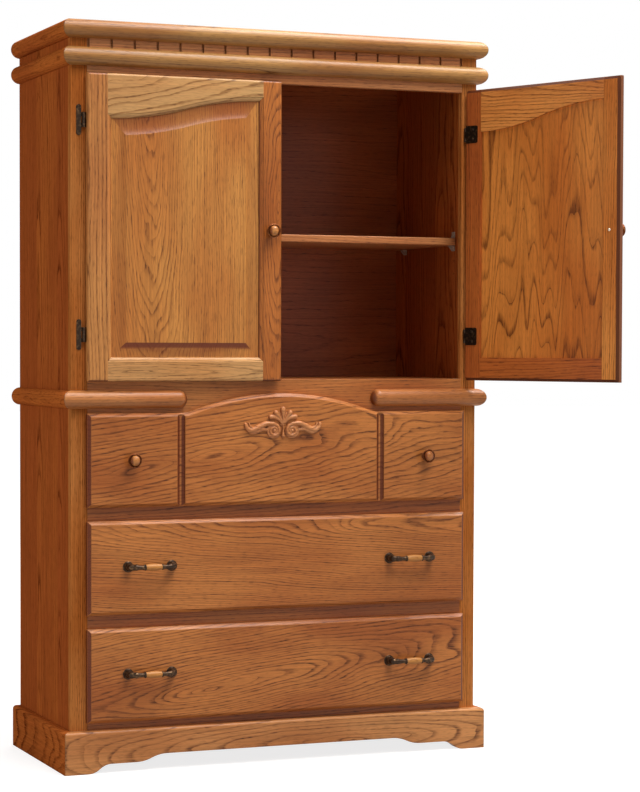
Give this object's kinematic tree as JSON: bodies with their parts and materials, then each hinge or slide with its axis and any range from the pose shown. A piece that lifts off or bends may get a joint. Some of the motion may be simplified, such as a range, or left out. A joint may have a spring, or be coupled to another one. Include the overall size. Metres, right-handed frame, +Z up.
{
  "type": "tv armoire",
  "caption": "Oak armoire: a shelved television cupboard behind hinged arched-panel doors, over drawers on roller slides, with half-round mouldings and a scrolled plinth.",
  "frame": {"origin": "on the floor at the middle of the back, where the plinth's rear edge meets the wall", "axes": "+X to the viewer's right along the front, -Y out of the front, +Z up"},
  "size_m": [1.2755, 0.9233, 1.792],
  "materials": {
    "oak_case": "satin",
    "oak_rail": "satin",
    "oak_moulding": "satin",
    "oak_inside": "satin",
    "back_ply": "satin",
    "oak_door": "satin",
    "oak_drawer_front": "satin",
    "oak_carving": "satin",
    "oak_knob": "satin",
    "oak_grip": "gloss",
    "drawer_box_wood": "matte",
    "dark_bronze": "satin",
    "slide_steel": "satin",
    "clear_plastic": "gloss"
  },
  "bodies": {
    "case": {"left_side_panel": "oak_case", "right_side_panel": "oak_case", "top_panel": "oak_case", "frame_stiles": "oak_case", "dentil_top_rail": "oak_rail", "waist_rail": "oak_rail", "drawer_rails": "oak_rail", "bottom_rail": "oak_rail", "crown_upper_front": "oak_moulding", "crown_upper_returns": "oak_moulding", "crown_lower_front": "oak_moulding", "crown_lower_returns": "oak_moulding", "waist_bead_front": "oak_moulding", "waist_bead_returns": "oak_moulding", "plinth_front": "oak_moulding", "plinth_sides": "oak_moulding", "tv_deck": "oak_inside", "bottom_panel": "oak_inside", "shelf": "oak_inside", "plinth_back": "oak_inside", "back_panel": "back_ply", "slide_cleats": "drawer_box_wood", "hinge_frame_leaves": "dark_bronze", "hinge_pins": "dark_bronze", "hinge_frame_screws": "dark_bronze", "slide_case_rails": "slide_steel", "shelf_clips": "clear_plastic"},
    "left_door": {"left_door_stiles": "oak_door", "left_door_top_rail": "oak_door", "left_door_bottom_rail": "oak_door", "left_door_panel": "oak_door", "left_door_knob": "oak_knob", "left_door_hinge_leaves": "dark_bronze", "left_door_hinge_screws": "dark_bronze", "left_door_knob_foot": "dark_bronze"},
    "right_door": {"right_door_stiles": "oak_door", "right_door_top_rail": "oak_door", "right_door_bottom_rail": "oak_door", "right_door_panel": "oak_door", "right_door_knob": "oak_knob", "right_door_hinge_leaves": "dark_bronze", "right_door_hinge_screws": "dark_bronze", "right_door_knob_foot": "dark_bronze"},
    "top_drawer": {"top_drawer_front": "oak_drawer_front", "top_drawer_shell": "oak_carving", "top_drawer_knobs": "oak_knob", "top_drawer_box": "drawer_box_wood", "top_drawer_knob_feet": "dark_bronze", "top_drawer_rails": "slide_steel"},
    "middle_drawer": {"middle_drawer_front": "oak_drawer_front", "middle_drawer_grips": "oak_grip", "middle_drawer_box": "drawer_box_wood", "middle_drawer_pulls": "dark_bronze", "middle_drawer_rails": "slide_steel"},
    "lower_drawer": {"lower_drawer_front": "oak_drawer_front", "lower_drawer_grips": "oak_grip", "lower_drawer_box": "drawer_box_wood", "lower_drawer_pulls": "dark_bronze", "lower_drawer_rails": "slide_steel"}
  },
  "joints": [
    {"name": "left_door_hinge", "type": "hinge", "parent": "case", "child": "left_door", "pos_m": [-0.501, -0.459, 1.3], "axis": [0, 0, -1], "range_deg": [0, 118]},
    {"name": "right_door_hinge", "type": "hinge", "parent": "case", "child": "right_door", "pos_m": [0.501, -0.459, 1.3], "axis": [0, 0, 1], "range_deg": [-111.4, 6.6]},
    {"name": "top_drawer_slide", "type": "slide", "parent": "case", "child": "top_drawer", "axis": [0, -1, 0], "range_m": [0, 0.3]},
    {"name": "middle_drawer_slide", "type": "slide", "parent": "case", "child": "middle_drawer", "axis": [0, -1, 0], "range_m": [0, 0.3]},
    {"name": "lower_drawer_slide", "type": "slide", "parent": "case", "child": "lower_drawer", "axis": [0, -1, 0], "range_m": [0, 0.3]}
  ]
}
